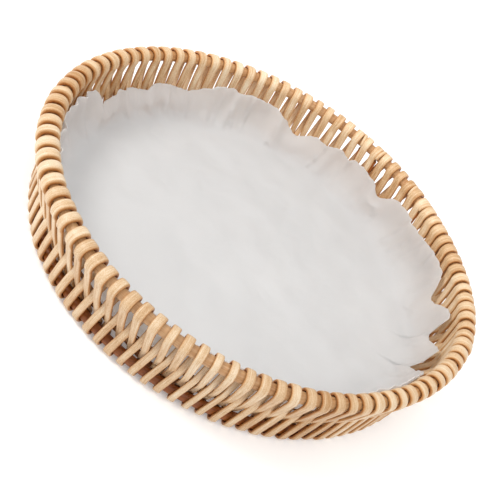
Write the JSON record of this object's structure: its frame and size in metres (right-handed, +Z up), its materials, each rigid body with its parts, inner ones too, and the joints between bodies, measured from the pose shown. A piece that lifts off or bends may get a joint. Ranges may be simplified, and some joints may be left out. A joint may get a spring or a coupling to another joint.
{
  "type": "proofing basket with cloth liner",
  "caption": "Shallow round proofing basket of willow rods wound in a figure of eight over a rim hoop and a base hoop, with a woven stick base and a loose cloth liner laid inside.",
  "frame": {"origin": "on the floor, at the middle of the basket's outline", "axes": "+Z up through the open mouth, +X along the basket's slightly longer way across"},
  "size_m": [0.2657, 0.2568, 0.0488],
  "materials": {
    "hoop_willow": "satin peeled willow, a little darker than the winding",
    "peeled_willow": "satin peeled willow, pale tan with lighter edges",
    "base_willow": "satin peeled willow",
    "natural_cloth": "undyed cotton and linen plain weave, matt"
  },
  "bodies": {
    "basket": {"rim_hoop": "hoop_willow", "base_hoop": "hoop_willow", "wall_rod_01": "peeled_willow", "wall_rod_02": "peeled_willow", "wall_rod_03": "peeled_willow", "wall_rod_04": "peeled_willow", "wall_rod_05": "peeled_willow", "wall_rod_06": "peeled_willow", "wall_rod_07": "peeled_willow", "wall_rod_08": "peeled_willow", "wall_rod_09": "peeled_willow", "wall_rod_10": "peeled_willow", "wall_rod_11": "peeled_willow", "wall_rod_12": "peeled_willow", "wall_rod_13": "peeled_willow", "wall_rod_14": "peeled_willow", "wall_rod_15": "peeled_willow", "wall_rod_16": "peeled_willow", "wall_rod_17": "peeled_willow", "wall_rod_18": "peeled_willow", "wall_rod_19": "peeled_willow", "wall_rod_20": "peeled_willow", "wall_rod_21": "peeled_willow", "wall_rod_22": "peeled_willow", "wall_rod_23": "peeled_willow", "wall_rod_24": "peeled_willow", "base_stick_long_1": "base_willow", "base_stick_long_2": "base_willow", "base_stick_long_3": "base_willow", "base_stick_long_4": "base_willow", "base_stick_long_5": "base_willow", "base_stick_cross_1": "base_willow", "base_stick_cross_2": "base_willow", "base_stick_cross_3": "base_willow", "base_stick_cross_4": "base_willow", "base_stick_cross_5": "base_willow", "base_weaver_1": "base_willow", "base_weaver_2": "base_willow", "base_weaver_3": "base_willow", "base_weaver_4": "base_willow", "base_weaver_5": "base_willow", "base_weaver_6": "base_willow", "base_weaver_7": "base_willow", "base_weaver_8": "base_willow"},
    "cloth_liner": {"liner": "natural_cloth"}
  },
  "joints": [
    {"name": "liner_lift", "type": "slide", "parent": "basket", "child": "cloth_liner", "axis": [0, 0, 1], "range_m": [0, 0.12]}
  ]
}
